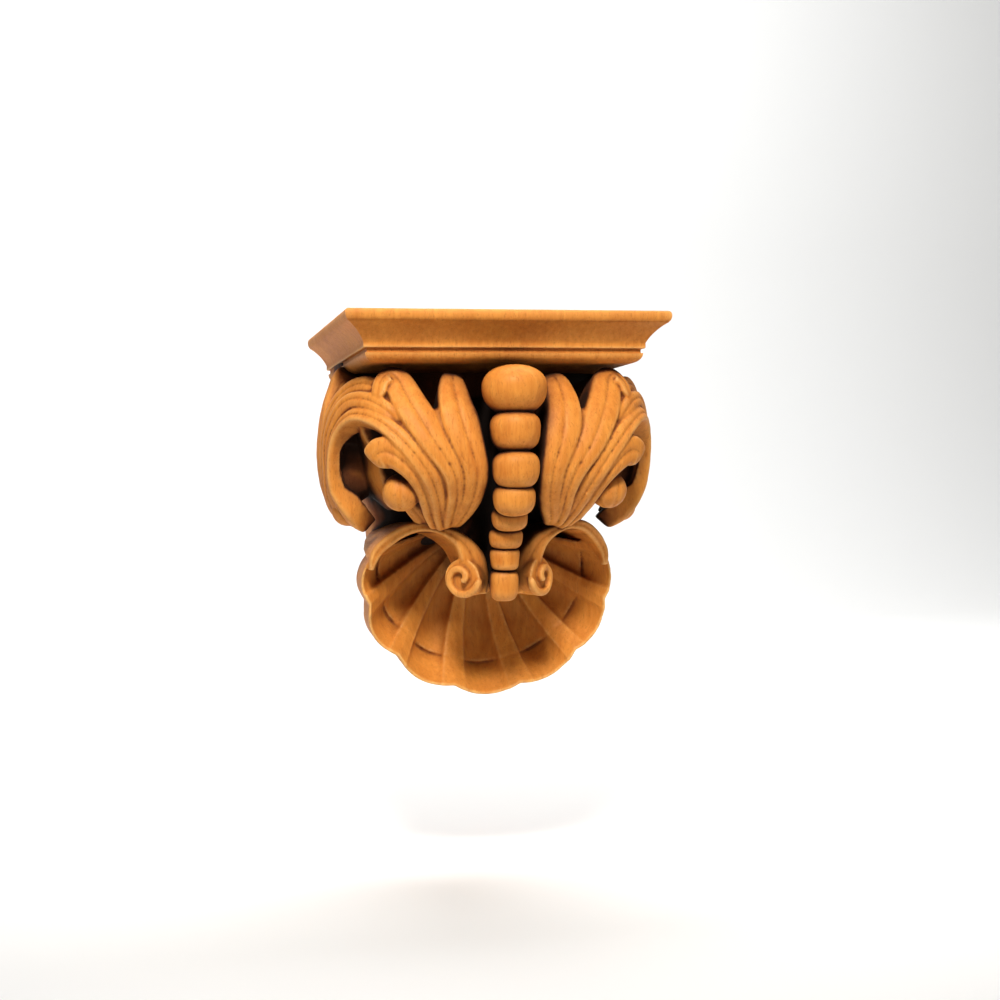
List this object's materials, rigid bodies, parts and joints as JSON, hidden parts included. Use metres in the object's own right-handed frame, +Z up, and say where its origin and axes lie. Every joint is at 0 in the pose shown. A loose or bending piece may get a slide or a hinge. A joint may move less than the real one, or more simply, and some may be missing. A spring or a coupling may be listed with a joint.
{
  "type": "corbel",
  "caption": "Carved wooden corbel with a moulded cap, acanthus leaves wrapping its corners, a bead string and a scallop shell at the foot.",
  "frame": {"origin": "centre of the flat back that goes against the wall, halfway up", "axes": "+Z up, +Y into the wall, so the front faces -Y, and +X to the right as seen from the front"},
  "size_m": [0.2686, 0.2266, 0.3002],
  "materials": {
    "carved_wood": "waxed, with darker recesses"
  },
  "bodies": {
    "root": {"corbel": "carved_wood"}
  },
  "joints": []
}
